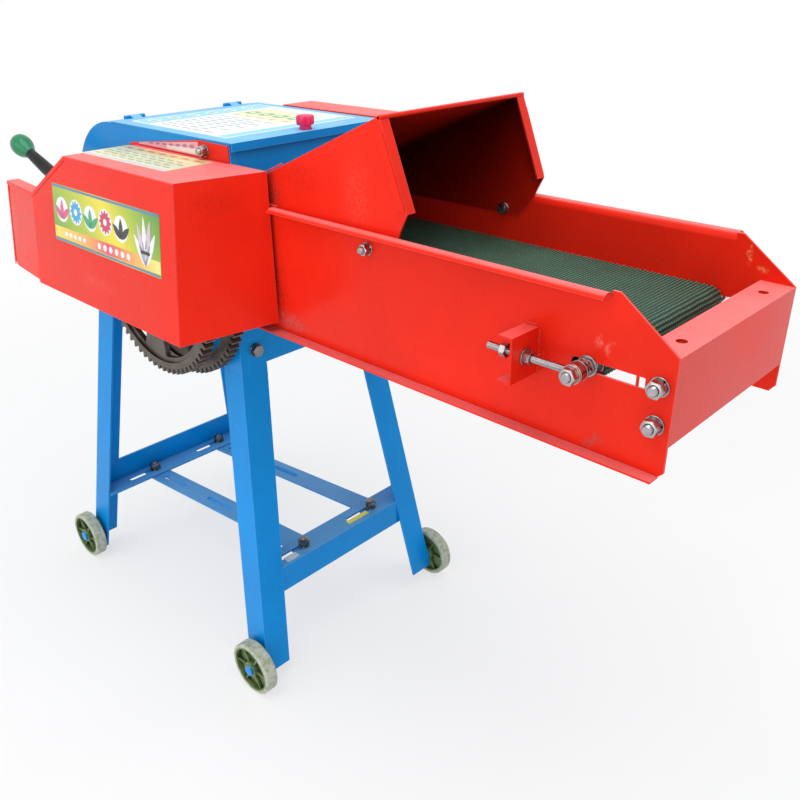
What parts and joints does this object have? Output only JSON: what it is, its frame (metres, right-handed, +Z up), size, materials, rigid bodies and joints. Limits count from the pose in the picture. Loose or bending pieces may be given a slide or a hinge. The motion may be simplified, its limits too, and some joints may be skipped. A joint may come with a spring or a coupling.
{
  "type": "grass shredder",
  "caption": "Feed-table grass shredder on a wheeled angle-iron stand, with bladed rotor, fluted feed rollers, belt table, covered gears and a shift lever",
  "frame": {"origin": "middle of the bounding box on the ground", "axes": "+X towards the feed table's free end, +Y from the gear side to the pulley side, +Z up"},
  "size_m": [1.1446, 0.4766, 0.882],
  "materials": {
    "paint_blue": "gloss enamel",
    "paint_red": "gloss enamel",
    "zinc": "zinc plated",
    "steel": "machined",
    "iron": "oiled casting",
    "lever_paint": "satin black",
    "ball_green": "smooth",
    "knob_pink": "moulded",
    "belt_green": "ribbed",
    "wheel_olive": "moulded"
  },
  "bodies": {
    "frame": {"leg_front_near": "paint_blue", "leg_front_far": "paint_blue", "leg_rear_near": "paint_blue", "leg_rear_far": "paint_blue", "crossbar_front": "paint_blue", "crossbar_rear": "paint_blue", "motor_rail_near": "paint_blue", "motor_rail_far": "paint_blue", "upper_frame": "paint_blue", "stand_bolts": "zinc", "casing_plate_near": "paint_blue", "casing_plate_far": "paint_blue", "casing_wrap": "paint_blue", "front_wall": "paint_blue", "lid_hinge": "paint_blue", "shear_bar": "paint_blue", "ledger_blade": "steel", "shaft_bearings": "iron", "pulley_guard": "paint_red", "feed_bearings": "iron", "idler_stud": "steel", "lever_bracket": "lever_paint", "gear_cover": "paint_red", "casing_bolts": "zinc", "table_side_near": "paint_red", "table_side_far": "paint_red", "table_bed": "paint_red", "feed_belt": "belt_green", "tension_brackets": "paint_red", "end_box": "paint_red", "hood": "paint_red", "table_bolts": "zinc"},
    "wheel_front_near": {"wheel_front_near": "wheel_olive"},
    "wheel_front_far": {"wheel_front_far": "wheel_olive"},
    "wheel_rear_near": {"wheel_rear_near": "wheel_olive"},
    "wheel_rear_far": {"wheel_rear_far": "wheel_olive"},
    "lid": {"lid": "paint_blue"},
    "lid_knob": {"lid_knob": "knob_pink", "lid_screw": "zinc"},
    "main_shaft": {"main_shaft": "steel", "rotor": "paint_blue", "rotor_blades": "steel", "drive_pulley": "iron"},
    "pinion_outer": {"pinion_outer": "iron"},
    "pinion_inner": {"pinion_inner": "iron"},
    "clutch_sleeve": {"clutch_sleeve": "iron"},
    "lever": {"shift_lever": "lever_paint", "lever_ball": "ball_green"},
    "lower_roller": {"lower_feed_roller": "iron", "large_gears": "iron", "roller_gear_lower": "iron"},
    "upper_blocks": {"upper_roller_blocks": "iron"},
    "upper_roller": {"upper_feed_roller": "iron", "roller_gear_upper": "iron"},
    "idler": {"idler_gear": "iron"},
    "table_drive": {"drive_roller": "steel", "table_drive_gear": "iron"},
    "take_up": {"tension_axle": "zinc", "tension_rods": "zinc"},
    "tail_roller": {"tail_roller": "steel"}
  },
  "joints": [
    {"name": "wheel_front_near_spin", "type": "hinge", "parent": "frame", "child": "wheel_front_near", "pos_m": [-0.00275, -0.18825, 0.0435], "axis": [0, 1, 0], "continuous": true},
    {"name": "wheel_front_far_spin", "type": "hinge", "parent": "frame", "child": "wheel_front_far", "pos_m": [-0.00275, 0.22375, 0.0435], "axis": [0, 1, 0], "continuous": true},
    {"name": "wheel_rear_near_spin", "type": "hinge", "parent": "frame", "child": "wheel_rear_near", "pos_m": [-0.52875, -0.18825, 0.0435], "axis": [0, 1, 0], "continuous": true},
    {"name": "wheel_rear_far_spin", "type": "hinge", "parent": "frame", "child": "wheel_rear_far", "pos_m": [-0.52875, 0.22375, 0.0435], "axis": [0, 1, 0], "continuous": true},
    {"name": "lid_hinge", "type": "hinge", "parent": "frame", "child": "lid", "pos_m": [-0.36575, 0.03725, 0.828], "axis": [0, -1, 0], "range_deg": [0, 110]},
    {"name": "lid_knob_turn", "type": "hinge", "parent": "lid", "child": "lid_knob", "pos_m": [-0.07075, 0.03725, 0.825], "axis": [0, 0, 1], "continuous": true},
    {"name": "rotor_spin", "type": "hinge", "parent": "frame", "child": "main_shaft", "pos_m": [-0.34469, 0.03725, 0.703], "axis": [0, 1, 0], "continuous": true},
    {"name": "pinion_outer_spin", "type": "hinge", "parent": "frame", "child": "pinion_outer", "pos_m": [-0.34469, -0.17925, 0.703], "axis": [0, 1, 0], "continuous": true},
    {"name": "pinion_inner_spin", "type": "hinge", "parent": "frame", "child": "pinion_inner", "pos_m": [-0.34469, -0.14225, 0.703], "axis": [0, 1, 0], "continuous": true},
    {"name": "clutch_slide", "type": "slide", "parent": "main_shaft", "child": "clutch_sleeve", "axis": [0, 1, 0], "range_m": [0, 0.0045]},
    {"name": "shift_lever_swing", "type": "hinge", "parent": "frame", "child": "lever", "pos_m": [-0.39359, -0.15725, 0.7207], "axis": [0.3404, 0, 0.9403], "range_deg": [0, 4.96]},
    {"name": "lower_roller_spin", "type": "hinge", "parent": "frame", "child": "lower_roller", "pos_m": [-0.17075, 0.03725, 0.643], "axis": [0, 1, 0], "continuous": true},
    {"name": "upper_roller_float", "type": "slide", "parent": "frame", "child": "upper_blocks", "axis": [0, 0, 1], "range_m": [0, 0.006]},
    {"name": "upper_roller_spin", "type": "hinge", "parent": "upper_blocks", "child": "upper_roller", "pos_m": [-0.17075, 0.03725, 0.723], "axis": [0, 1, 0], "continuous": true},
    {"name": "idler_spin", "type": "hinge", "parent": "frame", "child": "idler", "pos_m": [-0.12463, 0.18375, 0.63949], "axis": [0, 1, 0], "continuous": true},
    {"name": "table_drive_spin", "type": "hinge", "parent": "frame", "child": "table_drive", "pos_m": [-0.10075, 0.03725, 0.67], "axis": [0, 1, 0], "continuous": true},
    {"name": "belt_take_up", "type": "slide", "parent": "frame", "child": "take_up", "axis": [1, 0, 0], "range_m": [0, 0.006], "deforming": ["feed_belt"]},
    {"name": "tail_roller_spin", "type": "hinge", "parent": "take_up", "child": "tail_roller", "pos_m": [0.48175, 0.03725, 0.678], "axis": [0, 1, 0], "continuous": true}
  ],
  "couplings": [
    {"joint": "lower_roller_spin", "follows": "rotor_spin", "ratio": -0.33333},
    {"joint": "upper_roller_spin", "follows": "rotor_spin", "ratio": 0.33333},
    {"joint": "pinion_outer_spin", "follows": "rotor_spin", "ratio": 1},
    {"joint": "pinion_inner_spin", "follows": "rotor_spin", "ratio": 1.3704},
    {"joint": "idler_spin", "follows": "rotor_spin", "ratio": 0.4375},
    {"joint": "table_drive_spin", "follows": "rotor_spin", "ratio": -0.46667},
    {"joint": "clutch_slide", "follows": "shift_lever_swing", "m_per_rad": 0.052}
  ]
}
